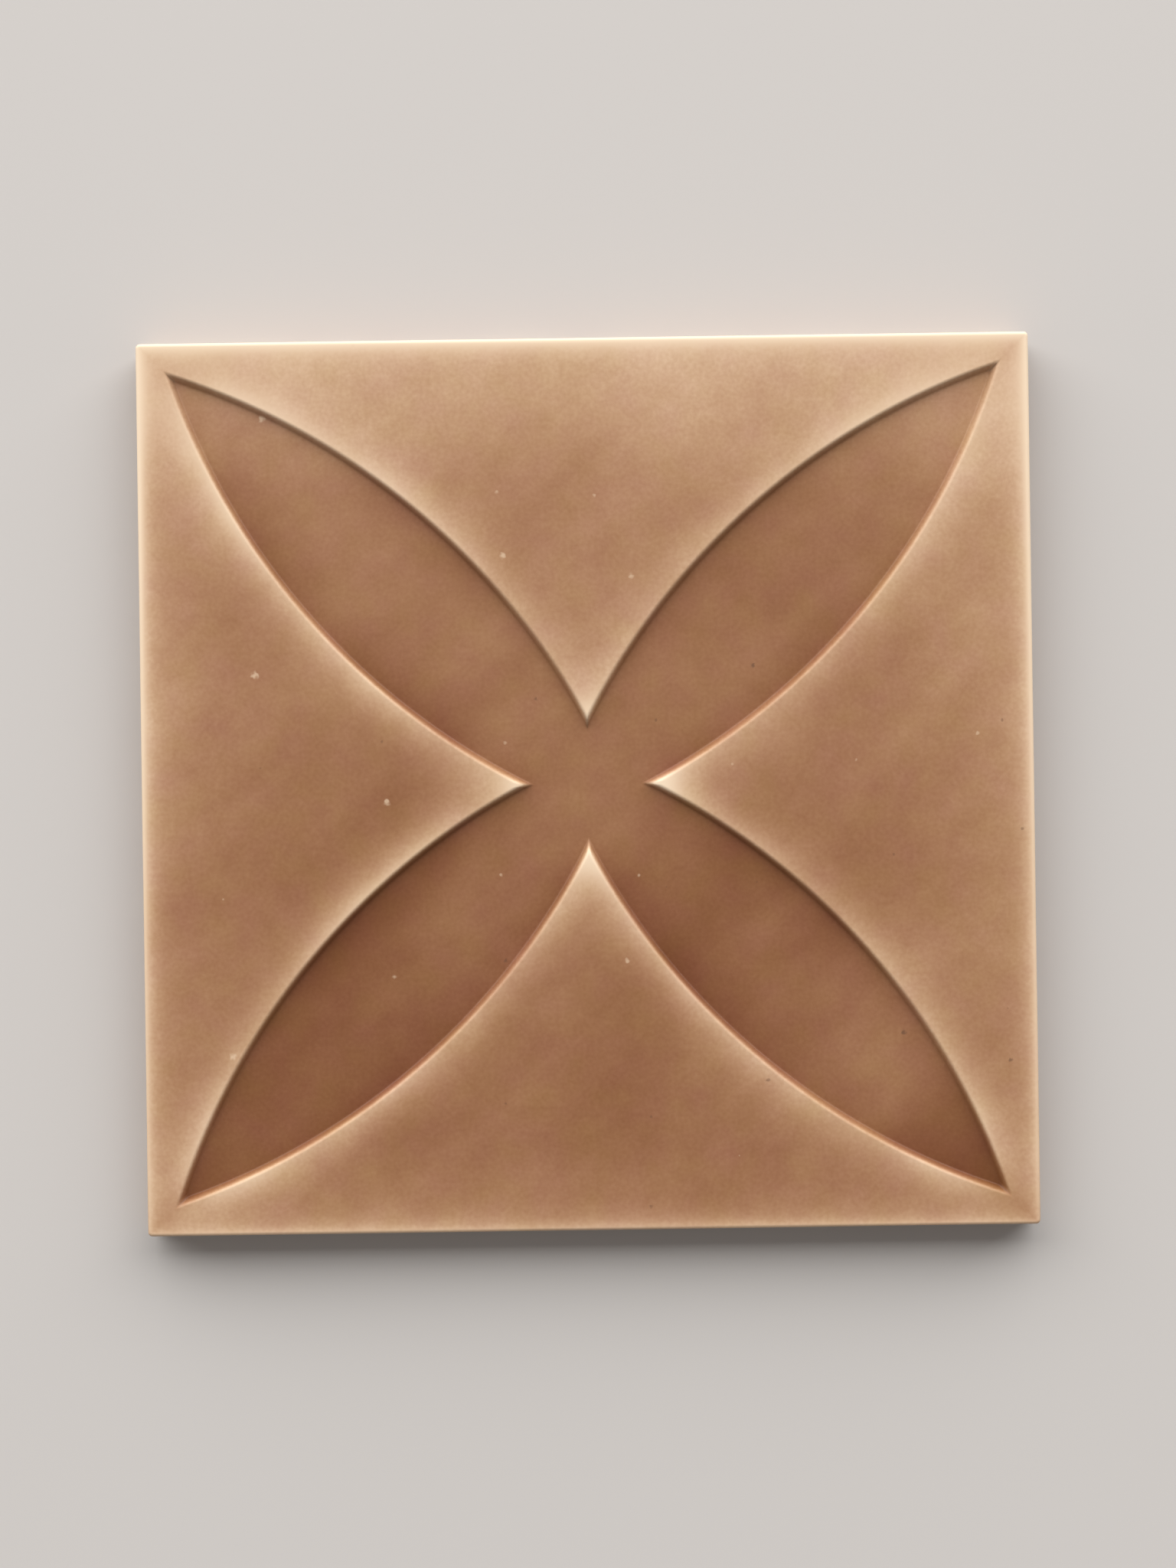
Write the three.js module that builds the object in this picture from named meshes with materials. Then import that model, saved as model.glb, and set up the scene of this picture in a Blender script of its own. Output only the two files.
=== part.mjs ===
// A relief glazed wall tile: one square slab of pressed and fired clay.
// Its face carries a sunken four-petal flower, so that four raised fields stand
// between the petals. The tile lies on its back, with its glazed face up.
// Millimetres, +Z up, origin at the middle of the back.
import * as THREE from "three";

// Slab
const SIDE = 150; // edge to edge, both ways
const THICKNESS = 9; // from the back to the raised fields
const FACE_ARRIS_RADIUS = 0.6; // rounding where the face turns down into the edges
const FACE_CORNER_RADIUS = 0.2; // plan rounding of the face's corners, inside the arris
const BACK_ARRIS_RADIUS = 0.5; // rounding round the back

// Flower, seen from above
const TIP_MARGIN = 4.5; // from a petal's tip to the two edges beside it
const APEX_GAP = 24; // between the points of opposite raised fields, across the centre
const PETAL_BULGE = 9; // how far a petal's side bows out from tip to apex

// Section of the wall between a raised field and the flower's floor
const RELIEF_DEPTH = 1.3; // from the raised fields down to the floor
const WALL_SLOPE = 56; // degrees from level
const SHOULDER_RADIUS = 0.7; // rounding at the top of the wall
const FOOT_RADIUS = 0.4; // hollow rounding at the bottom of the wall

// Fineness of the facets
const PETAL_SIDE_STEPS = 16; // along one side of one petal
const ARRIS_STEPS = 5;
const CORNER_STEPS = 4;
const SHOULDER_STEPS = 6;
const FOOT_STEPS = 5;

const QUARTERS = [0, 1, 2, 3];
const GLAZE = { color: 0xb58a66, roughness: 0.25, metalness: 0 };

const toRadians = THREE.MathUtils.degToRad;

// The circle that one petal side is an arc of. It is worked out in one eighth of the
// tile, where the raised field's apex lies on the Y axis and the tip on the diagonal.
function petalCircle() {
  const apex = new THREE.Vector2(0, APEX_GAP / 2);
  const tip = new THREE.Vector2(1, 1).multiplyScalar(SIDE / 2 - TIP_MARGIN);
  const chord = tip.clone().sub(apex);
  const halfChord = chord.length() / 2;
  const radius = (halfChord ** 2 + PETAL_BULGE ** 2) / (2 * PETAL_BULGE);
  const towardsCentre = new THREE.Vector2(chord.y, -chord.x).normalize();
  const centre = apex
    .clone()
    .add(tip)
    .divideScalar(2)
    .addScaledVector(towardsCentre, radius - PETAL_BULGE);
  return { centre, radius };
}

// One petal side, from the axis to the diagonal, drawn `inset` inside the flower.
function petalSide(inset) {
  const { centre, radius } = petalCircle();
  const r = radius - inset;
  const onAxis = centre.y + Math.sqrt(r ** 2 - centre.x ** 2);
  const sum = centre.x + centre.y;
  const spread = Math.sqrt(sum ** 2 - 2 * (centre.lengthSq() - r ** 2));
  const onDiagonal = (sum + spread) / 2;
  const start = Math.atan2(onAxis - centre.y, -centre.x);
  const end = Math.atan2(onDiagonal - centre.y, onDiagonal - centre.x);
  const arc = new THREE.EllipseCurve(centre.x, centre.y, r, r, start, end, true);
  const points = arc.getPoints(PETAL_SIDE_STEPS);
  points[0].set(0, onAxis);
  points[PETAL_SIDE_STEPS].set(onDiagonal, onDiagonal);
  return points;
}

// The whole flower's outline, anticlockwise, `inset` inside its edge.
function flowerOutline(inset) {
  const side = petalSide(inset);
  const mirrored = side.slice(1, -1).map((p) => new THREE.Vector2(-p.x, p.y));
  const quarter = [...side.reverse(), ...mirrored];
  return QUARTERS.flatMap((turn) =>
    quarter.map((p) => p.clone().rotateAround(new THREE.Vector2(), turn * (Math.PI / 2))),
  );
}

// The slab's outline, anticlockwise, `inset` inside its edges.
function slabOutline(inset) {
  const edgeCornerRadius = FACE_CORNER_RADIUS + FACE_ARRIS_RADIUS;
  const middle = SIDE / 2 - edgeCornerRadius;
  const r = edgeCornerRadius - inset;
  const corner = new THREE.EllipseCurve(middle, middle, r, r, 0, Math.PI / 2).getPoints(CORNER_STEPS);
  return QUARTERS.flatMap((turn) =>
    corner.map((p) => p.clone().rotateAround(new THREE.Vector2(), turn * (Math.PI / 2))),
  );
}

// Loops that turn the back's edge, the slab's sides and the face's edge.
function slabLoops() {
  const loops = [];
  for (let i = 0; i <= ARRIS_STEPS; i++) {
    const turn = (i / ARRIS_STEPS) * (Math.PI / 2);
    loops.push({
      outline: slabOutline(BACK_ARRIS_RADIUS * (1 - Math.sin(turn))),
      z: BACK_ARRIS_RADIUS * (1 - Math.cos(turn)),
    });
  }
  for (let i = 0; i <= ARRIS_STEPS; i++) {
    const turn = (i / ARRIS_STEPS) * (Math.PI / 2);
    loops.push({
      outline: slabOutline(FACE_ARRIS_RADIUS * (1 - Math.cos(turn))),
      z: THICKNESS - FACE_ARRIS_RADIUS * (1 - Math.sin(turn)),
    });
  }
  return loops;
}

// Loops that go down the relief's wall, from the raised fields to the flower's floor.
function wallLoops() {
  const slope = toRadians(WALL_SLOPE);
  const loops = [];
  for (let i = 0; i <= SHOULDER_STEPS; i++) {
    const turn = (i / SHOULDER_STEPS) * slope;
    loops.push({
      outline: flowerOutline(SHOULDER_RADIUS * Math.sin(turn)),
      z: THICKNESS - SHOULDER_RADIUS * (1 - Math.cos(turn)),
    });
  }
  const roundedDrop = (SHOULDER_RADIUS + FOOT_RADIUS) * (1 - Math.cos(slope));
  const wallRun = (RELIEF_DEPTH - roundedDrop) / Math.tan(slope);
  const floorInset = (SHOULDER_RADIUS + FOOT_RADIUS) * Math.sin(slope) + wallRun;
  for (let i = 0; i <= FOOT_STEPS; i++) {
    const turn = (1 - i / FOOT_STEPS) * slope;
    loops.push({
      outline: flowerOutline(floorInset - FOOT_RADIUS * Math.sin(turn)),
      z: THICKNESS - RELIEF_DEPTH + FOOT_RADIUS * (1 - Math.cos(turn)),
    });
  }
  return loops;
}

// Collects triangles that share their corners.
class Surface {
  constructor() {
    this.positions = [];
    this.triangles = [];
  }

  addLoop({ outline, z }) {
    const first = this.positions.length / 3;
    outline.forEach((p) => this.positions.push(p.x, p.y, z));
    return { first, outline };
  }

  // A band of faces from one loop to the next one inwards or upwards.
  addBand(outer, inner) {
    const count = outer.outline.length;
    for (let i = 0; i < count; i++) {
      const next = (i + 1) % count;
      this.triangles.push(outer.first + i, outer.first + next, inner.first + next);
      this.triangles.push(outer.first + i, inner.first + next, inner.first + i);
    }
  }

  // A level face inside one loop, with the `hole` loop left open where there is one.
  addLevelFace(loop, hole, facesDown = false) {
    const index = (i) => (i < loop.outline.length ? loop.first + i : hole.first + i - loop.outline.length);
    const faces = THREE.ShapeUtils.triangulateShape(loop.outline, hole ? [hole.outline] : []);
    faces.forEach(([a, b, c]) => {
      const corners = [index(a), index(b), index(c)];
      this.triangles.push(...(facesDown ? corners.reverse() : corners));
    });
  }

  geometry() {
    const made = new THREE.BufferGeometry();
    made.setAttribute("position", new THREE.Float32BufferAttribute(this.positions, 3));
    made.setIndex(this.triangles);
    made.computeVertexNormals();
    return made;
  }
}

// The whole tile as one closed surface: back, edges, raised fields, walls and floor.
function reliefTile() {
  const surface = new Surface();
  const slab = slabLoops().map((loop) => surface.addLoop(loop));
  const wall = wallLoops().map((loop) => surface.addLoop(loop));
  surface.addLevelFace(slab[0], null, true);
  slab.slice(1).forEach((loop, i) => surface.addBand(slab[i], loop));
  surface.addLevelFace(slab.at(-1), wall[0]);
  wall.slice(1).forEach((loop, i) => surface.addBand(wall[i], loop));
  surface.addLevelFace(wall.at(-1), null);

  const tile = new THREE.Mesh(surface.geometry(), new THREE.MeshStandardMaterial(GLAZE));
  tile.name = "relief_tile";
  return tile;
}

const tile = new THREE.Group();
tile.add(reliefTile());

export default tile;
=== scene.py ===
# %% [markdown]
# A relief glazed tile, made in Blender around its CAD model.
# The real tile is one slab of pale clay, pressed in a mould, fired and covered with a see-through
# tan glaze. The glaze is a liquid in the kiln: it runs off the edges, where the pale clay shows
# through, and pools in the hollows, where it looks brown. That is the whole look of the tile, so
# this lesson takes care over where the glaze is thin and where it is thick.
# The first cell loads the CAD model as a fixed frame, so that the outer sizes come from it.

# %% Load the frame
import math

import bpy
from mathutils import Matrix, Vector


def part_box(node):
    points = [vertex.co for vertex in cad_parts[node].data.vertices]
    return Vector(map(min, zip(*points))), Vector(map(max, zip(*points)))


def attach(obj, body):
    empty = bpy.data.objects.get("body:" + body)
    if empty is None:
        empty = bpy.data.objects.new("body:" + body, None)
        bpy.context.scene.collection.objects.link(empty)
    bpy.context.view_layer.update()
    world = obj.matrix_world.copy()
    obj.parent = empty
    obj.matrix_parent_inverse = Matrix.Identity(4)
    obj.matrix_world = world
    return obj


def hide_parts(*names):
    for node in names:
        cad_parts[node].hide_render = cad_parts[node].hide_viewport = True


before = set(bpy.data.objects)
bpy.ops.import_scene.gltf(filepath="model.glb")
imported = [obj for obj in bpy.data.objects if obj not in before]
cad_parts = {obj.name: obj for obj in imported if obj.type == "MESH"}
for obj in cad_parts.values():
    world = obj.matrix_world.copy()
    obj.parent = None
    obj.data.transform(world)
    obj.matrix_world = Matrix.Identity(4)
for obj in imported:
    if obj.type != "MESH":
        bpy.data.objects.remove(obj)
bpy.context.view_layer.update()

low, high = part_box("relief_tile")
SIDE = high.x - low.x
THICKNESS = high.z - low.z
MM = 0.001
print(f"tile: {SIDE / MM:.1f} mm square, {THICKNESS / MM:.1f} mm thick")

# %% [markdown]
# A node tree is easier to read as sums than as a list of links. Wire stands for one output of a
# node and overloads the operators, so that a * b adds a Multiply node and links both into it.

# %% Sums on the outputs of nodes
class Wire:
    """One output of a node. Sums on it add Math nodes to the same tree."""

    def __init__(self, graph, socket):
        self.graph = graph
        self.socket = socket

    def __add__(self, other):
        return self.graph.math("ADD", self, other)

    def __radd__(self, other):
        return self.graph.math("ADD", other, self)

    def __sub__(self, other):
        return self.graph.math("SUBTRACT", self, other)

    def __rsub__(self, other):
        return self.graph.math("SUBTRACT", other, self)

    def __mul__(self, other):
        return self.graph.math("MULTIPLY", self, other)

    def __rmul__(self, other):
        return self.graph.math("MULTIPLY", other, self)

    def __truediv__(self, other):
        return self.graph.math("DIVIDE", self, other)

    def __pow__(self, other):
        return self.graph.math("POWER", self, other)

    def __neg__(self):
        return self.graph.math("MULTIPLY", self, -1)

    def math(self, operation, *others):
        """Any other sum, with this output first."""
        return self.graph.math(operation, self, *others)

    def beside(self, name):
        """Another output of the same node."""
        return Wire(self.graph, self.socket.node.outputs[name])


print("Wire: +, -, *, / and ** add Math nodes")

# %% [markdown]
# Graph holds the tree and adds any other node: its type, its settings, then the values or links
# of its sockets. The same two classes serve the shape and the finish, because Geometry Nodes and
# shaders share their Math nodes.

# %% Node trees
class Graph:
    """A node tree that is filled by calls."""

    def __init__(self, tree):
        self.tree = tree

    def add(self, kind, settings=None, values=(), output=0):
        """Adds a node. Values go by socket name, or in order; output is a name or a number."""
        node = self.tree.nodes.new(kind)
        for name, setting in (settings or {}).items():
            setattr(node, name, setting)
        sockets = [s for s in node.inputs if s.enabled]
        named = {s.name: s for s in reversed(sockets)}
        pairs = values.items() if isinstance(values, dict) else enumerate(values)
        for key, value in pairs:
            socket = named[key] if isinstance(key, str) else sockets[key]
            if isinstance(value, Wire):
                self.tree.links.new(value.socket, socket)
            else:
                socket.default_value = value
        shown = [s for s in node.outputs if s.enabled]
        if isinstance(output, str):
            return Wire(self, next(s for s in shown if s.name == output))
        return Wire(self, shown[output]) if shown else node

    def math(self, operation, *values):
        """A sum on numbers."""
        return self.add("ShaderNodeMath", {"operation": operation}, values)

    def vector_math(self, operation, values):
        """A sum on vectors."""
        return self.add("ShaderNodeVectorMath", {"operation": operation}, values)

    def axis(self, vector, name):
        """The X, Y or Z of a vector."""
        return self.add("ShaderNodeSeparateXYZ", values=[vector], output=name)

    def step(self, value, start, end, kind="SMOOTHSTEP"):
        """Goes from 0 to 1 as the value goes from start to end, and stays there."""
        values = {"Value": value, "From Min": start, "From Max": end}
        return self.add("ShaderNodeMapRange", {"interpolation_type": kind}, values)


def lerp(start, end, share):
    """A value between two others: share 0 is the start, 1 the end."""
    return start + (end - start) * share


def report(graph, made):
    """Prints how large a tree has become."""
    print(f"{made}: the tree now has {len(graph.tree.nodes)} nodes")


# %% [markdown]
# The photograph looks straight down at the tile from a bit over half a metre. The camera stands
# there too, so the perspective is the same, and its lens lets the tile fill most of the frame. A
# lens is worked out from what it has to show: the sensor's size times the distance over the
# field's size. The frame is upright, so Blender fits the sensor to its height.

# %% Camera
CAMERA_HEIGHT = 0.565
CAMERA_ROLL = math.radians(-0.83)
TILE_SHARE = 0.76  # of the frame's width
FRAME_ASPECT = 2048 / 1536
SENSOR = 36

frame_height = SIDE / TILE_SHARE * FRAME_ASPECT
camera_data = bpy.data.cameras.new("camera")
camera_data.sensor_width = SENSOR
camera_data.lens = SENSOR * CAMERA_HEIGHT / frame_height
camera = bpy.data.objects.new("camera", camera_data)
camera.location = (0, 0, THICKNESS + CAMERA_HEIGHT)
camera.rotation_euler = (0, 0, CAMERA_ROLL)
bpy.context.scene.collection.objects.link(camera)
bpy.context.scene.camera = camera
print(f"camera: {camera_data.lens:.1f} mm lens, {CAMERA_HEIGHT} m above the face")

# %% [markdown]
# The relief is a sunken flower with four petals, so the tile is the same in each of its eighths.
# Only one eighth is drawn: a grid of points is folded over the section of the tile, from the
# flower's middle, up the wall, across the raised field, round the arris, down the side and under
# the back. Modelling this by hand would take hundreds of loops; a rule keeps every row of points
# along the petal's curve, so that the light runs cleanly along the wall. The tree's inputs are the
# sizes that a mould maker would give.

# %% Tree for the tile, with its sizes
TILE_SIZES = {
    "Side": SIDE,
    "Thickness": THICKNESS,
    "Tip Margin": 4.5 * MM,
    "Apex Gap": 24 * MM,
    "Petal Bulge": 9 * MM,
    "Relief Depth": 1.3 * MM,
    "Wall Slope": math.radians(56),
    "Shoulder Radius": 0.7 * MM,
    "Foot Radius": 0.4 * MM,
    "Face Arris": 0.6 * MM,
    "Back Arris": 0.5 * MM,
    "Corner Radius": 0.8 * MM,  # of the sides in plan, so more than the arris that turns inside it
    "Waviness": 0.10 * MM,
}
tile_tree = bpy.data.node_groups.new("pressed tile", "GeometryNodeTree")
interface = tile_tree.interface
interface.new_socket("Tile", in_out="OUTPUT", socket_type="NodeSocketGeometry")
size_sockets = {
    name: interface.new_socket(name, in_out="INPUT", socket_type="NodeSocketFloat")
    for name in TILE_SIZES
}
shape = Graph(tile_tree)
sizes = tile_tree.nodes.new("NodeGroupInput")
given = {name: Wire(shape, sizes.outputs[name]) for name in TILE_SIZES}
print("tile tree inputs:", ", ".join(TILE_SIZES))

# %% [markdown]
# One petal side is an arc of a large circle. Two points fix it, the apex of the raised field on
# the Y axis and the petal's tip on the diagonal, with the bulge between them. The circle is worked
# out as on paper, from the chord between the two points.

# %% Petal circle
apex = given["Apex Gap"] / 2
tip = given["Side"] / 2 - given["Tip Margin"]
bulge = given["Petal Bulge"]
chord_y = tip - apex
chord = (tip * tip + chord_y * chord_y).math("SQRT")
petal_radius = (chord * chord / 4 + bulge * bulge) / (2 * bulge)
centre_x = tip / 2 + chord_y / chord * (petal_radius - bulge)
centre_y = (apex + tip) / 2 - tip / chord * (petal_radius - bulge)
report(shape, "petal circle")

# %% [markdown]
# Every line of the wall is the same circle with a smaller radius, cut off where it meets the axis
# and the diagonal. The points of all lines sit at the same angles, so the wall's quads are
# straight. Only near its two ends does a line give way, to reach the axis and the diagonal.

# %% Point of a petal's side
END_REACH = 6  # the higher, the shorter the stretch that gives way at each end


def petal_ends(radius):
    """The angles at which a circle of that radius meets the axis and the diagonal."""
    on_axis = (-centre_x / radius).math("ARCCOSINE")
    off_diagonal = (centre_y - centre_x) / (radius * math.sqrt(2))
    on_diagonal = off_diagonal.math("ARCCOSINE") - math.pi / 4
    return on_axis, on_diagonal


def petal_point(inset, along):
    """A point of the side, drawn that far inside the flower: 0 is the axis, 1 the diagonal."""
    radius = petal_radius - inset
    start, end = petal_ends(petal_radius)
    inset_start, inset_end = petal_ends(radius)
    angle = lerp(start, end, along)
    angle = angle + (inset_start - start) * (1 - along) ** END_REACH
    angle = angle + (inset_end - end) * along ** END_REACH
    return centre_x + radius * angle.math("COSINE"), centre_y + radius * angle.math("SINE")


print("petal side: an arc from the Y axis to the diagonal")

# %% [markdown]
# The grid's rows are shared out over the stretches of the section. Each stretch has its own
# progress, which stays 0 before it and 1 after it, so the height and the inset of any row are
# plain sums of what each stretch adds: no switches are needed.

# %% Rows of the section
COLUMNS = 96
ROWS = {
    "floor": 16,
    "foot": 8,
    "wall": 2,
    "shoulder": 10,
    "field": 46,
    "arris": 6,
    "side": 18,
    "back arris": 3,
    "back": 6,
}
row_count = sum(ROWS.values())
grid_sizes = {"Size X": 1.0, "Size Y": 1.0, "Vertices X": COLUMNS + 1, "Vertices Y": row_count + 1}
grid = shape.add("GeometryNodeMeshGrid", values=grid_sizes, output="Mesh")
grid_point = shape.add("GeometryNodeInputPosition")
along = shape.axis(grid_point, "X") + 0.5
row = (shape.axis(grid_point, "Y") + 0.5) * row_count

progress = {}
first_row = 0
for stretch, rows in ROWS.items():
    progress[stretch] = shape.step(row, first_row, first_row + rows, "LINEAR")
    first_row += rows
print(f"one eighth: {COLUMNS} columns, {row_count} rows")

# %% [markdown]
# The wall is a hollow foot, a straight slope and a rounded shoulder. Glaze fills the foot and
# rounds the shoulder, so both radii are those of the glazed surface. A wide foot was tried too:
# it mirrored the window as a pale line, which the photograph doesn't show.

# %% Inset and rise of the wall
slope = given["Wall Slope"]
foot, shoulder = given["Foot Radius"], given["Shoulder Radius"]
slope_sine, slope_cosine = slope.math("SINE"), slope.math("COSINE")
wall_drop = given["Relief Depth"] - (foot + shoulder) * (1 - slope_cosine)
wall_run = wall_drop * slope_cosine / slope_sine
floor_inset = (foot + shoulder) * slope_sine + wall_run

foot_turn = slope * progress["foot"]
shoulder_turn = slope * (1 - progress["shoulder"])
inset = floor_inset - foot * foot_turn.math("SINE") - wall_run * progress["wall"]
inset = inset - shoulder * (slope_sine - shoulder_turn.math("SINE"))
rise = foot * (1 - foot_turn.math("COSINE")) + wall_drop * progress["wall"]
rise = rise + shoulder * (shoulder_turn.math("COSINE") - slope_cosine)
report(shape, "wall")

# %% [markdown]
# Past the raised field the section turns over the arris, goes down the side and round the back's
# edge. The arris is the glazed one, so it is a little rounder than the clay under it.

# %% Inset and fall of the edges
arris, back_arris = given["Face Arris"], given["Back Arris"]
arris_turn = progress["arris"] * (math.pi / 2)
back_turn = progress["back arris"] * (math.pi / 2)
side_drop = given["Thickness"] - arris - back_arris
edge_inset = arris * (1 - arris_turn.math("SINE"))
edge_inset = edge_inset + back_arris * (1 - back_turn.math("COSINE"))
fall = arris * (1 - arris_turn.math("COSINE")) + side_drop * progress["side"]
fall = fall + back_arris * back_turn.math("SINE")
height = given["Thickness"] - given["Relief Depth"] + rise - fall
report(shape, "edges")

# %% [markdown]
# Across the tile, a row on the floor lies between the diagonal and the petal's side, and a row on
# the raised field between the petal's side and the tile's edge. The points are closer together
# near the wall and the arris, where the surface bends and the glaze changes.

# %% Place of each point in plan
CORNER_SHARE = 0.06  # of the way across, for the rounded corner
CROWDING = 0.7  # 0 spaces the rows evenly, 1 brings them together at both ends


def crowded(share):
    """The same share, with its steps smaller near 0 and 1."""
    return share - (share * (2 * math.pi)).math("SINE") * (CROWDING / (2 * math.pi))


petal_x, petal_y = petal_point(inset, along)
across = petal_point(0, along)[0] / tip
straight_share = shape.step(across, 0, 1 - CORNER_SHARE, "LINEAR")
corner_turn = shape.step(across, 1 - CORNER_SHARE, 1, "LINEAR") * (math.pi / 4)
corner_centre = given["Side"] / 2 - given["Corner Radius"]
corner_radius = given["Corner Radius"] - edge_inset
edge_x = corner_centre * straight_share + corner_radius * corner_turn.math("SINE")
edge_y = corner_centre + corner_radius * corner_turn.math("COSINE")

floor_share = crowded(progress["floor"])
field_share = crowded(progress["field"])
towards_middle = 1 - progress["back"]
x = lerp(petal_x, edge_x, field_share) * towards_middle
y = lerp(lerp(petal_x, petal_y, floor_share), edge_y, field_share) * towards_middle
folded = shape.add("ShaderNodeCombineXYZ", values=[x, y, height])
eighth = shape.add("GeometryNodeSetPosition", values={"Geometry": grid, "Position": folded})
report(shape, "eighth of the tile")

# %% [markdown]
# A mirrored copy makes the eighth a quarter. A mirror turns faces inside out, so the copy's faces
# are flipped. Four instances, a quarter turn apart, make the whole tile, and merging by distance
# closes the seams between them.

# %% Eighth to whole tile
SEAM = 0.0005 * MM

over_the_diagonal = {"Geometry": eighth, "Rotation": (0, 0, -math.pi / 2), "Scale": (-1, 1, 1)}
mirrored = shape.add("GeometryNodeTransform", values=over_the_diagonal)
mirrored = shape.add("GeometryNodeFlipFaces", values=[mirrored])
quarter = shape.add("GeometryNodeJoinGeometry")
for part in (eighth, mirrored):
    tile_tree.links.new(part.socket, quarter.socket.node.inputs["Geometry"])

turns = shape.add("GeometryNodeInputIndex") * (math.pi / 2)
turned = shape.add("ShaderNodeCombineXYZ", values={"Z": turns})
middle_points = shape.add("GeometryNodePoints", values={"Count": 4})
copies = {"Points": middle_points, "Instance": quarter, "Rotation": turned}
quarters = shape.add("GeometryNodeInstanceOnPoints", values=copies)
whole = shape.add("GeometryNodeRealizeInstances", values=[quarters])
whole = shape.add("GeometryNodeMergeByDistance", values={"Geometry": whole, "Distance": SEAM})
report(shape, "whole tile")

# %% [markdown]
# Pressed clay dries and shrinks unevenly, so no real face is quite flat and no edge quite
# straight. A soft noise draws the surface in by up to a tenth of a millimetre. It is too little to
# see as a shape, but the reflections show it. It only draws in, so that the tile stays inside its
# CAD box, and it fades out above the back, which has to lie flat.

# %% Waviness
WAVE_SEED = 7.3
WAVE_LENGTH = 28 * MM
FLAT_BELOW = 0.3 * MM
WAVY_ABOVE = 2.5 * MM


def seeded_noise(vector, seed, size, detail, roughness):
    """A noise from 0 to 1, with lumps of about that size."""
    values = {"Vector": vector, "W": seed, "Scale": 1 / size}
    values.update({"Detail": detail, "Roughness": roughness})
    return shape.add("ShaderNodeTexNoise", {"noise_dimensions": "4D"}, values)


point = shape.add("GeometryNodeInputPosition")
point_z = shape.axis(point, "Z")
normal = shape.add("GeometryNodeInputNormal")
wave = seeded_noise(point, WAVE_SEED, WAVE_LENGTH, detail=1.5, roughness=0.4)
swell = (wave - 1) * given["Waviness"] * shape.step(point_z, FLAT_BELOW, WAVY_ABOVE)
push = shape.vector_math("SCALE", {"Vector": normal, "Scale": swell})
wavy = shape.add("GeometryNodeSetPosition", values={"Geometry": whole, "Offset": push})
report(shape, "waviness")

# %% [markdown]
# Now the glaze itself. In the kiln it levels like honey, so its top is a smoothed copy of the clay
# under it, and its thickness follows the smoothed height less the real height. Shader nodes can't
# see their surroundings, but Geometry Nodes can: rays, cast down from above each point of a
# fine flat grid, read the clay's height there. Rays that miss take the face's height, as if the
# tile lay level in a bed, because the outer edge gets a rule of its own below.

# %% Height map of the clay
MAP_STEP = 0.5 * MM
MAP_MARGIN = 12 * MM
RAY_START = 2 * THICKNESS  # above the back, and as far as a ray reaches

map_side = SIDE + 2 * MAP_MARGIN
map_points = int(map_side / MAP_STEP) + 1
map_sizes = {"Size X": map_side, "Size Y": map_side}
map_sizes.update({"Vertices X": map_points, "Vertices Y": map_points})
height_map = shape.add("GeometryNodeMeshGrid", values=map_sizes, output="Mesh")
above = shape.vector_math("ADD", [grid_point, (0, 0, RAY_START)])
ray = {"Target Geometry": wavy, "Source Position": above}
ray.update({"Ray Direction": (0, 0, -1), "Ray Length": RAY_START})
hit = shape.add("GeometryNodeRaycast", values=ray, output="Is Hit")
hit_height = shape.axis(hit.beside("Hit Position"), "Z")
heights = {"Switch": hit, "False": given["Thickness"], "True": hit_height}
clay_height = shape.add("GeometryNodeSwitch", {"input_type": "FLOAT"}, heights)
print(f"height map: {map_points} by {map_points} rays, {MAP_STEP / MM} mm apart")

# %% [markdown]
# Blur Attribute smooths the heights on the grid, round after round, and each point of the tile
# looks up the result straight below it. The blur is worked out on the grid's points first,
# through Evaluate on Domain, or else the look-up would not see the neighbours.

# %% Smoothed height under each point
BLUR_GROWTH = 0.4  # of a step squared: what each round of blurring adds to the width squared
IN_PLAN = (1, 1, 0)  # a vector times this lies flat
POINT_FLOAT = {"data_type": "FLOAT", "domain": "POINT"}

flat_point = shape.vector_math("MULTIPLY", [point, IN_PLAN])


def smoothed_height(width):
    """The clay's height, smoothed over about that width, under each point of the tile."""
    rounds = round((width / MAP_STEP) ** 2 / BLUR_GROWTH)
    values = {"Value": clay_height, "Iterations": rounds, "Weight": 1.0}
    blurred = shape.add("GeometryNodeBlurAttribute", {"data_type": "FLOAT"}, values)
    evaluated = shape.add("GeometryNodeFieldOnDomain", POINT_FLOAT, [blurred])
    looked_up = {"Mesh": height_map, "Value": evaluated, "Sample Position": flat_point}
    print(f"blur of {width / MM:.1f} mm: {rounds} rounds")
    return shape.add("GeometryNodeSampleNearestSurface", {"data_type": "FLOAT"}, looked_up)


# %% [markdown]
# Two blurs are added up: a narrow one for the pale halo along each shoulder and the dark band at
# each foot, and a broad one for the drift of glaze into the petals. What pools counts for less
# than what runs off, because thick glaze sags away. On the tile's own edge no point counts as
# lower than the arris, so that the side isn't read as a deep hollow. The halos aren't even round
# a real relief, so a noise makes them swell and fade.

# %% Pooled glaze
NARROW_BLUR, NARROW_GAIN = 4.2 * MM, 0.95 / MM
BROAD_BLUR, BROAD_GAIN = 14 * MM, 0.16 / MM
POOL_SHARE = 0.35
HALO_SEED = 16.3
HALO_WAVE = 30 * MM
HALO_VARIATION = 1.0

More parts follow.
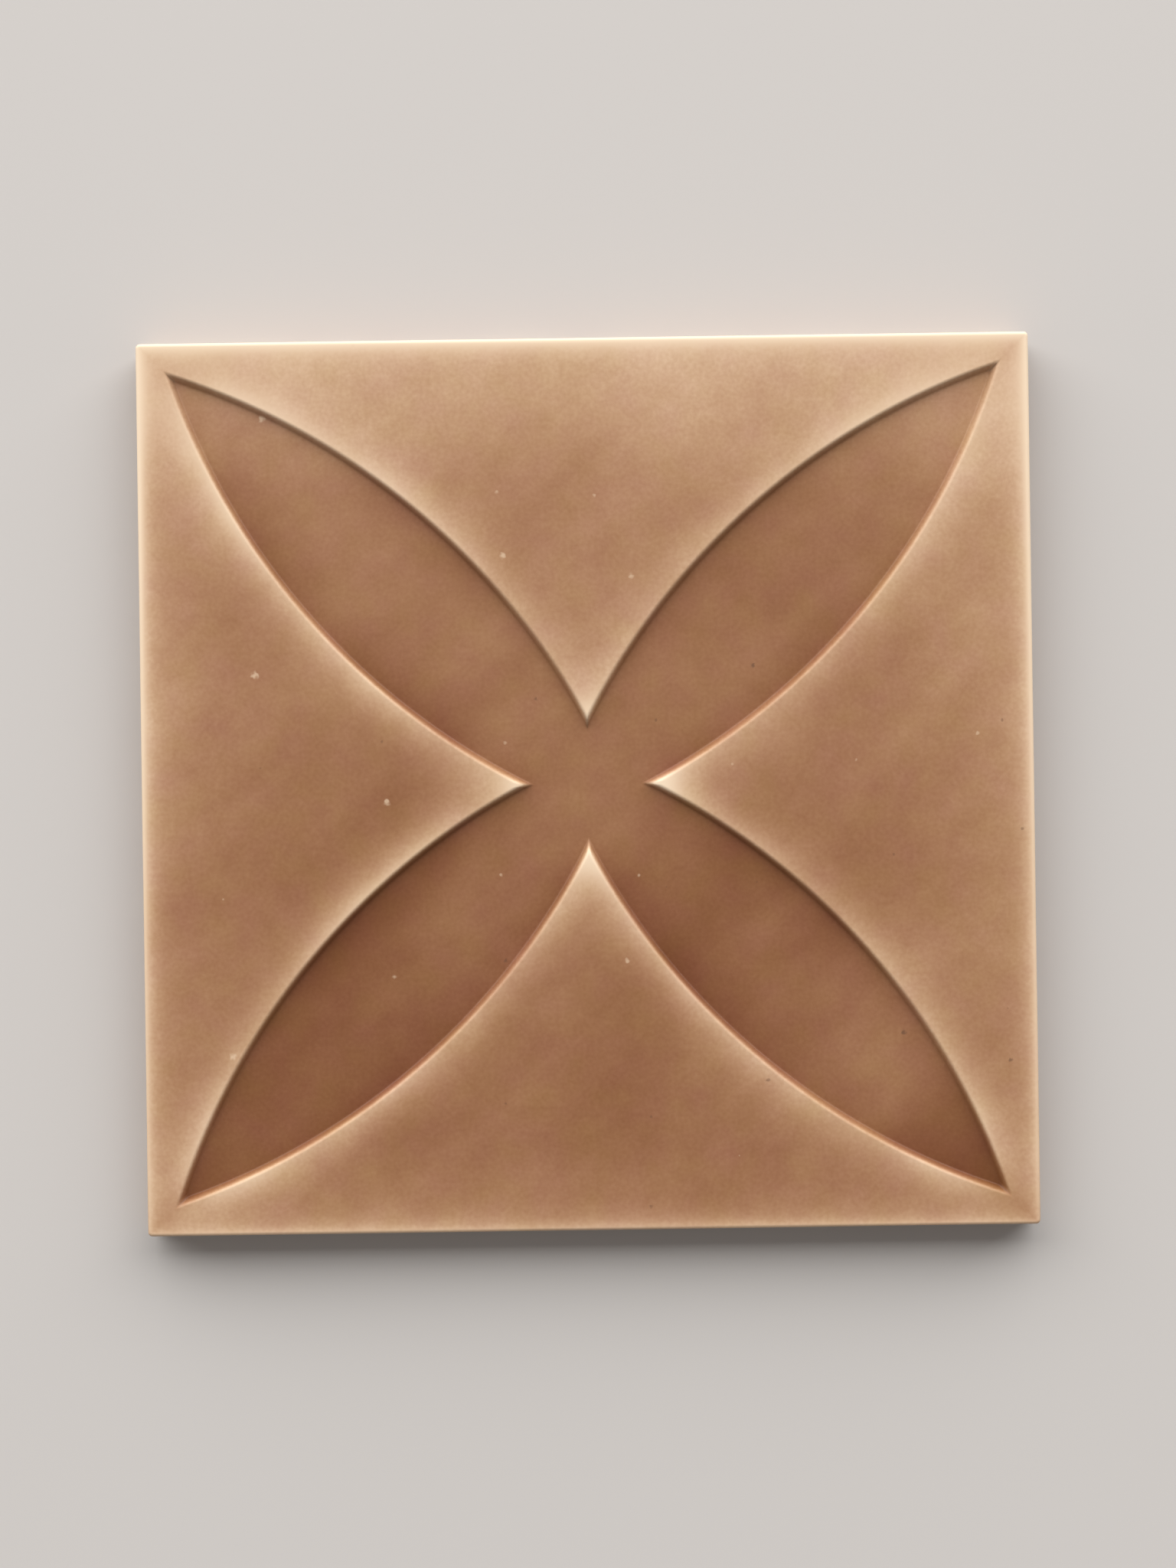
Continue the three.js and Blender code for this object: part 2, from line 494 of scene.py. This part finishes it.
plan_x = shape.axis(point, "X").math("ABSOLUTE")
plan_y = shape.axis(point, "Y").math("ABSOLUTE")
from_middle = plan_x.math("MAXIMUM", plan_y)
on_edge = from_middle.math("GREATER_THAN", given["Side"] / 2 - arris)
own_height = lerp(point_z, point_z.math("MAXIMUM", given["Thickness"] - arris), on_edge)
pooled = (smoothed_height(NARROW_BLUR) - own_height) * NARROW_GAIN
pooled = pooled.math("MINIMUM", pooled * POOL_SHARE)
pooled = pooled + (smoothed_height(BROAD_BLUR) - own_height) * BROAD_GAIN
halo_noise = seeded_noise(point, HALO_SEED, HALO_WAVE, detail=1, roughness=0.5)
pooled = pooled * (1 + (halo_noise - 0.5) * (2 * HALO_VARIATION))
report(shape, "pooled glaze")

# %% [markdown]
# The coat grows towards the bottom edge and is thinnest near the top edge, so the tile is
# darker towards the bottom and paler towards the top.

# %% Darker towards the bottom
DOWNWARD_THICKENING = 0.15
TOP_EDGE_THINNING = 0.22
TOP_THINNING_FROM, TOP_THINNING_TO = -0.6, -0.9  # of half the side: the top edge is at -1

down_the_tile = shape.axis(point, "Y") * (-2 / SIDE)
near_top_edge = shape.step(down_the_tile, TOP_THINNING_FROM, TOP_THINNING_TO)
# thicker coat towards the bottom and thinner near the top edge: darker towards the bottom
thickened_downwards = 1 + down_the_tile * DOWNWARD_THICKENING - near_top_edge * TOP_EDGE_THINNING
report(shape, "downward_darkening")

# %% [markdown]
# All round the tile the glaze draws back from the sharp outer edge: a bright thin rim, and a
# paler border inside it. Both are exponentials of the distance from the edge, which fall off fast
# and then slowly, as the photograph's rim does. The side gets a coat of its own below the arris.
# A coat is a plain number: about 1 is a glaze of the usual thickness.

# %% Rim, border and coat
MEAN_COAT = 1.17
RIM_COAT = 0.85
RIM_REACH = 1.5 * MM
RIM_TOPWARD_GROWTH = 0.3
BORDER_COAT = 0.42
BORDER_REACH = 12 * MM
SIDE_COAT = 0.95
SIDE_FADE = 2.2 * MM

edge_distance = (given["Side"] / 2 - from_middle).math("MAXIMUM", 0)
rim = (edge_distance / -RIM_REACH).math("EXPONENT") * RIM_COAT
# the pale rim grows towards the top edge and fades towards the bottom
rim = rim * (1 - down_the_tile * RIM_TOPWARD_GROWTH)
border = (edge_distance / -BORDER_REACH).math("EXPONENT") * BORDER_COAT
coat = (MEAN_COAT + pooled - rim - border) * thickened_downwards
below_arris = given["Thickness"] - arris - point_z
coat = lerp(coat, SIDE_COAT, on_edge * shape.step(below_arris, 0, SIDE_FADE))
report(shape, "coat")

# %% [markdown]
# The tile is dipped face down, so the glaze covers the face and most of the sides and ends in a
# ragged line above the back, which stays bare to sit on the kiln shelf. A noise that looks only at
# the plan moves that line up and down. What is worked out is the height above the line, which is
# below zero on the bare clay. The glaze ends in a thick bead, and the clay under it is drawn in.

# %% Glaze line on the sides
LINE_HEIGHT = 2.2 * MM
LINE_RAGGEDNESS = 3.0 * MM
LINE_SEED = 12.3
LINE_WAVE = 8 * MM
LIP = 0.12 * MM
LIP_SOFTNESS = 0.45 * MM
BEAD = 0.5
BEAD_WIDTH = 0.8 * MM

ragged = seeded_noise(flat_point, LINE_SEED, LINE_WAVE, detail=2.5, roughness=0.55)
run = point_z - LINE_HEIGHT - (ragged - 0.5) * LINE_RAGGEDNESS
bead = (-((run / BEAD_WIDTH) ** 2)).math("EXPONENT") * BEAD
bare_share = 1 - shape.step(run, -LIP_SOFTNESS, LIP_SOFTNESS)
sideways = shape.vector_math("MULTIPLY", [normal, IN_PLAN])
draw_in = shape.vector_math("SCALE", {"Vector": sideways, "Scale": bare_share * -LIP})
report(shape, "glaze line")

# %% [markdown]
# The shader reads the coat and the height above the line from two attributes on the mesh's
# points. They are stored by name before the bare clay moves, so that they belong to the shape
# they were worked out on.

# %% Attributes for the shader
def with_attribute(geometry, name, value):
    """The geometry, with a number stored by name on each of its points."""
    values = {"Geometry": geometry, "Name": name, "Value": value}
    return shape.add("GeometryNodeStoreNamedAttribute", POINT_FLOAT, values)


glazed = with_attribute(wavy, "coat", coat + bead)
glazed = with_attribute(glazed, "run", run)
glazed = shape.add("GeometryNodeSetPosition", values={"Geometry": glazed, "Offset": draw_in})
report(shape, "attributes")

# %% [markdown]
# The tree ends by shading the tile smooth and giving it its material, which is still empty here.
# Its instances were realized above, so the tile is one mesh by now.

# %% End of the tile's tree
tile_finish = bpy.data.materials.new("tinted_glaze")
smooth = shape.add("GeometryNodeSetShadeSmooth", values={"Geometry": glazed, "Shade Smooth": True})
dressed = {"Geometry": smooth, "Material": tile_finish}
finished = shape.add("GeometryNodeSetMaterial", values=dressed)
shape.add("NodeGroupOutput", values={"Tile": finished})
report(shape, "end of the tree")

# %% [markdown]
# The tree runs once, as a modifier on an empty object, with the sizes set by the identifiers of
# their sockets. A plain mesh is taken from the result and the modifier goes, because the piece
# that stands in for the CAD node has to be a finished mesh at the origin.

# %% Tile mesh
glazed_tile = bpy.data.objects.new("glazed_tile", bpy.data.meshes.new("glazed_tile"))
bpy.context.scene.collection.objects.link(glazed_tile)
modifier = glazed_tile.modifiers.new("pressed tile", "NODES")
modifier.node_group = tile_tree
for name, value in TILE_SIZES.items():
    modifier[size_sockets[name].identifier] = value
evaluated_tile = glazed_tile.evaluated_get(bpy.context.evaluated_depsgraph_get())
tile_mesh = bpy.data.meshes.new_from_object(evaluated_tile)
glazed_tile.modifiers.remove(modifier)
glazed_tile.data = tile_mesh
tile_mesh.name = "glazed_tile"

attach(glazed_tile, "root")
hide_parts("relief_tile")

coats = [value.value for value in tile_mesh.attributes["coat"].data]
print(f"tile mesh: {len(tile_mesh.vertices)} points, {len(tile_mesh.polygons)} faces")
print(f"coat: from {min(coats):.2f} to {max(coats):.2f}")

# %% [markdown]
# The finish starts from two things: where a point lies on the piece, which Object coordinates
# give, and the attributes that the tree stored. The noises below read the place, so they stay put
# when the tile or the camera moves. Each noise looks at its own far-off spot of the same pattern.

# %% Material and its noises
SEED_STEP = 0.1  # of a metre, between one seed's place and the next

tile_finish.use_nodes = True
tile_finish.node_tree.nodes.clear()
finish = Graph(tile_finish.node_tree)
place = finish.add("ShaderNodeTexCoord", output="Object")


def moved(vector, seed):
    """The same place, moved away, where the noise has another part of its pattern."""
    return finish.vector_math("ADD", [vector, (seed * SEED_STEP, 0, 0)])


def noise(size, seed, detail=2.0, roughness=0.5, vector=place):
    """A noise about zero, with lumps of about that size."""
    values = {"Vector": moved(vector, seed), "Scale": 1 / size}
    values.update({"Detail": detail, "Roughness": roughness})
    return finish.add("ShaderNodeTexNoise", values=values) - 0.5


def stored(name):
    """An attribute that the tile's tree stored on its points."""
    settings = {"attribute_name": name, "attribute_type": "GEOMETRY"}
    return finish.add("ShaderNodeAttribute", settings, output="Fac")


coat_here = stored("coat")
report(finish, "coordinates")

# %% [markdown]
# A glaze is never even: it ran, it dripped and it boiled a little. So noises of four sizes
# change its thickness. Clouds and streaks multiply it, and the streaks are stretched along a
# diagonal, as in a glaze that ran off while the tile was tipped. Patches and grain are added, and
# fade where the coat is thin, because a thin coat follows the clay. A smooth maximum keeps a thin
# film on the sharpest edges.

# %% Uneven glaze
CLOUD_SIZE, CLOUD = 42 * MM, 0.70
STREAK_SIZE, STREAK = 9 * MM, 0.24
STREAK_STRETCH = 4
STREAK_ANGLE = math.radians(40)
PATCH_SIZE, PATCH = 4.5 * MM, 0.19
GRAIN_SIZE, GRAIN = 0.7 * MM, 0.22
PATCHLESS_COAT, PATCHED_COAT = 0.1, 0.6
THINNEST = 0.06
THINNEST_SOFTNESS = 0.3

turn_and_stretch = {"Vector": place, "Rotation": (0, 0, STREAK_ANGLE)}
turn_and_stretch["Scale"] = (STREAK_STRETCH, 1, 1)
slanted = finish.add("ShaderNodeMapping", {"vector_type": "TEXTURE"}, turn_and_stretch)
clouds = noise(CLOUD_SIZE, seed=1) * CLOUD
clouds = clouds + noise(STREAK_SIZE, seed=2, vector=slanted) * STREAK
patches = noise(PATCH_SIZE, seed=3) * PATCH
patches = patches + noise(GRAIN_SIZE, seed=4, detail=1) * GRAIN
patched = finish.step(coat_here, PATCHLESS_COAT, PATCHED_COAT)
thickness = coat_here * (1 + clouds) + patches * patched
thickness = thickness.math("SMOOTH_MAX", THINNEST, THINNEST_SOFTNESS)
report(finish, "uneven glaze")

# %% [markdown]
# A see-through glaze takes a share of the light for each bit of its thickness, as any tinted
# liquid does, and takes more blue than red. So each colour channel is the clay's colour times an
# exponential of the thickness. Its tint wanders a little between pink and straw.

# %% Glaze colour
CLAY_COLOUR = (0.88, 0.715, 0.53)
ABSORPTION = (0.93, 1.405, 1.775)
TINT_SIZE, TINT = 6 * MM, 0.09

tint = noise(TINT_SIZE, seed=5, detail=1) * TINT
tints = (1, 1 + tint, 1 - tint)
channels = [
    clay * (thickness * -absorption * shift).math("EXPONENT")
    for clay, absorption, shift in zip(CLAY_COLOUR, ABSORPTION, tints)
]
glaze_colour = finish.add("ShaderNodeCombineColor", values=channels)
for sample in (THINNEST, MEAN_COAT, 2 * MEAN_COAT):
    seen = [clay * math.exp(-sample * take) for clay, take in zip(CLAY_COLOUR, ABSORPTION)]
    print(f"colour through a coat of {sample:.2f}:", [round(channel, 2) for channel in seen])

# %% [markdown]
# A few pale specks, where a bubble burst and healed thin, and a few dark pinholes lie on the face.
# A Voronoi texture drops one point in each of its cells, and gives each cell a random colour. Only
# cells whose red is above a limit show their point, so the specks are rare and not evenly spread,
# and the green of the same colour makes some of them smaller and fainter. A noise on the distance
# spoils their round rims.

# %% Speck pattern
SPECK_CELL = 21 * MM
SPECK_LIMIT = 0.62  # of the cells, this share stays empty
SMALLEST_SPECK = 0.25  # of the largest
FAINTEST_SPECK = 0.4  # of the strongest
SPECK_CORE = 0.2  # of the radius, at full strength
SPECK_RIM_SIZE, SPECK_RIM = 0.7, 1.2  # of the largest speck, and of its radius
SPECK_RIM_SEED = 20  # added to the specks' own seed


def specks(size, seed):
    """One where a rare small dot lies, fading to zero over its rim."""
    settings = {"voronoi_dimensions": "2D", "feature": "F1"}
    values = {"Vector": moved(place, seed), "Scale": 1 / SPECK_CELL}
    distance = finish.add("ShaderNodeTexVoronoi", settings, values, output="Distance")
    shown = finish.add("ShaderNodeSeparateColor", values=[distance.beside("Color")])
    chance = shown.beside("Green")
    shown = shown.math("GREATER_THAN", SPECK_LIMIT)
    radius = lerp(SMALLEST_SPECK, 1, chance) * (size / SPECK_CELL)
    rim = noise(size * SPECK_RIM_SIZE, seed + SPECK_RIM_SEED, detail=0) * SPECK_RIM
    dot = 1 - finish.step(distance / radius + rim, SPECK_CORE, 1)
    return dot * shown * lerp(FAINTEST_SPECK, 1, chance)


print(f"specks: at most one in each {SPECK_CELL / MM:.0f} mm square")

# %% [markdown]
# Both kinds are mixed into the glaze's colour. They are colour only: a real one is a tenth of a
# millimetre deep or less, which no view of the whole tile shows.

# %% Specks
PALE_SPECK, PALE_STRENGTH = 0.8 * MM, 0.6
PALE_COLOUR = (0.74, 0.55, 0.38, 1)
PINHOLE, PINHOLE_STRENGTH = 0.6 * MM, 0.6
PINHOLE_COLOUR = (0.10, 0.05, 0.03, 1)


def mixed(share, first, second):
    """One colour going over into another."""
    values = {"Factor": share, "A": first, "B": second}
    return finish.add("ShaderNodeMix", {"data_type": "RGBA"}, values)


pale_specks = specks(PALE_SPECK, seed=6) * PALE_STRENGTH
pinholes = specks(PINHOLE, seed=7) * PINHOLE_STRENGTH
glaze_colour = mixed(pale_specks, glaze_colour, PALE_COLOUR)
glaze_colour = mixed(pinholes, glaze_colour, PINHOLE_COLOUR)
report(finish, "specks")

# %% [markdown]
# Below the glaze line the clay is bare: paler, matt and sandy. The glaze above it has a soft gloss
# that differs a little from place to place, and the faint dimples called orange peel. Dimples and
# sand are too fine for the mesh, so a Bump node tilts the normals for them.

# %% Bare clay and gloss
LINE_SOFTNESS = 0.12 * MM
BARE_COLOUR = (0.66, 0.52, 0.38, 1)
BARE_DARK = (0.50, 0.38, 0.27, 1)
BARE_PATCH_SIZE = 3 * MM
BARE_ROUGHNESS = 0.9
GLAZE_ROUGHNESS = 0.42
ROUGHNESS_RANGE = 0.12

covered = finish.step(stored("run"), -LINE_SOFTNESS, LINE_SOFTNESS)
bare_patches = noise(BARE_PATCH_SIZE, seed=8, detail=3, roughness=0.7) + 0.5
bare_colour = mixed(bare_patches, BARE_COLOUR, BARE_DARK)
colour = mixed(covered, bare_colour, glaze_colour)
glaze_roughness = GLAZE_ROUGHNESS + noise(PATCH_SIZE, seed=9, detail=1) * ROUGHNESS_RANGE
roughness = lerp(BARE_ROUGHNESS, glaze_roughness, covered)
report(finish, "bare clay and gloss")

# %% [markdown]
# The last cell of the finish joins colour, roughness and relief in one Principled shader. The
# depth of the glaze is already in its colour, so no second layer is needed. Its reflection is set
# below that of clean glass, because this glaze is a dull one.

# %% Tile material
PEEL_SIZE, PEEL_DEPTH = 2.2 * MM, 0.010 * MM
SAND_SIZE, SAND_DEPTH = 0.35 * MM, 0.05 * MM
GLAZE_IOR = 1.5
GLAZE_SPECULAR = 0.25

peel = noise(PEEL_SIZE, seed=10, detail=0) * PEEL_DEPTH
sand = noise(SAND_SIZE, seed=11, detail=1, roughness=0.7) * SAND_DEPTH
relief = {"Distance": 1.0, "Height": lerp(sand, peel, covered)}
bumps = finish.add("ShaderNodeBump", values=relief)
glaze = {"Base Color": colour, "Roughness": roughness, "Normal": bumps}
glaze.update({"IOR": GLAZE_IOR, "Specular IOR Level": GLAZE_SPECULAR})
surface = finish.add("ShaderNodeBsdfPrincipled", values=glaze)
finish.add("ShaderNodeOutputMaterial", values={"Surface": surface})
report(finish, "tile material")

# %% [markdown]
# The floor is a plain pale sheet, far larger than the frame, so that its edge never shows and it
# throws the same soft light back from all sides.

# %% Floor
FLOOR_SIZE = 30
FLOOR_COLOUR = (0.55, 0.52, 0.495, 1)
FLOOR_ROUGHNESS = 0.9

bpy.ops.mesh.primitive_plane_add(size=FLOOR_SIZE)
floor = bpy.context.object
floor.name = "floor"
floor_finish = bpy.data.materials.new("floor")
floor_finish.use_nodes = True
floor_shader = floor_finish.node_tree.nodes["Principled BSDF"]
floor_shader.inputs["Base Color"].default_value = FLOOR_COLOUR
floor_shader.inputs["Roughness"].default_value = FLOOR_ROUGHNESS
floor.data.materials.append(floor_finish)
print(f"floor: {FLOOR_SIZE} m square")

# %% [markdown]
# The light is a tall wide window that stands upright beyond the top of the picture. It reaches
# from the floor to high above the tile, so walls that face it are bright, walls that face away
# are in shade, and shadows fade slowly. An even pale world fills them.

# %% Light
WINDOW_DISTANCE = 2.2
WINDOW_LEFT = 1.1
WINDOW_WIDTH = 10
WINDOW_HEIGHT = 5.4
WINDOW_POWER = 530
WORLD_STRENGTH = 0.28
WORLD_COLOUR = (1.0, 0.99, 0.98, 1)

window_data = bpy.data.lights.new("window", "AREA")
window_data.shape = "RECTANGLE"
window_data.size = WINDOW_WIDTH
window_data.size_y = WINDOW_HEIGHT
window_data.energy = WINDOW_POWER
window = bpy.data.objects.new("window", window_data)
window.location = (-WINDOW_LEFT, WINDOW_DISTANCE, WINDOW_HEIGHT / 2)
window.rotation_euler = (-math.pi / 2, 0, 0)
bpy.context.scene.collection.objects.link(window)

world = bpy.data.worlds.new("room")
world.use_nodes = True
world.node_tree.nodes["Background"].inputs["Color"].default_value = WORLD_COLOUR
world.node_tree.nodes["Background"].inputs["Strength"].default_value = WORLD_STRENGTH
bpy.context.scene.world = world
bpy.context.scene.view_settings.view_transform = "Standard"
print(f"window: {WINDOW_WIDTH} by {WINDOW_HEIGHT} m, {WINDOW_POWER} W")

# %% [markdown]
# Last, the view layer is updated.

# %% Finish
bpy.context.view_layer.update()
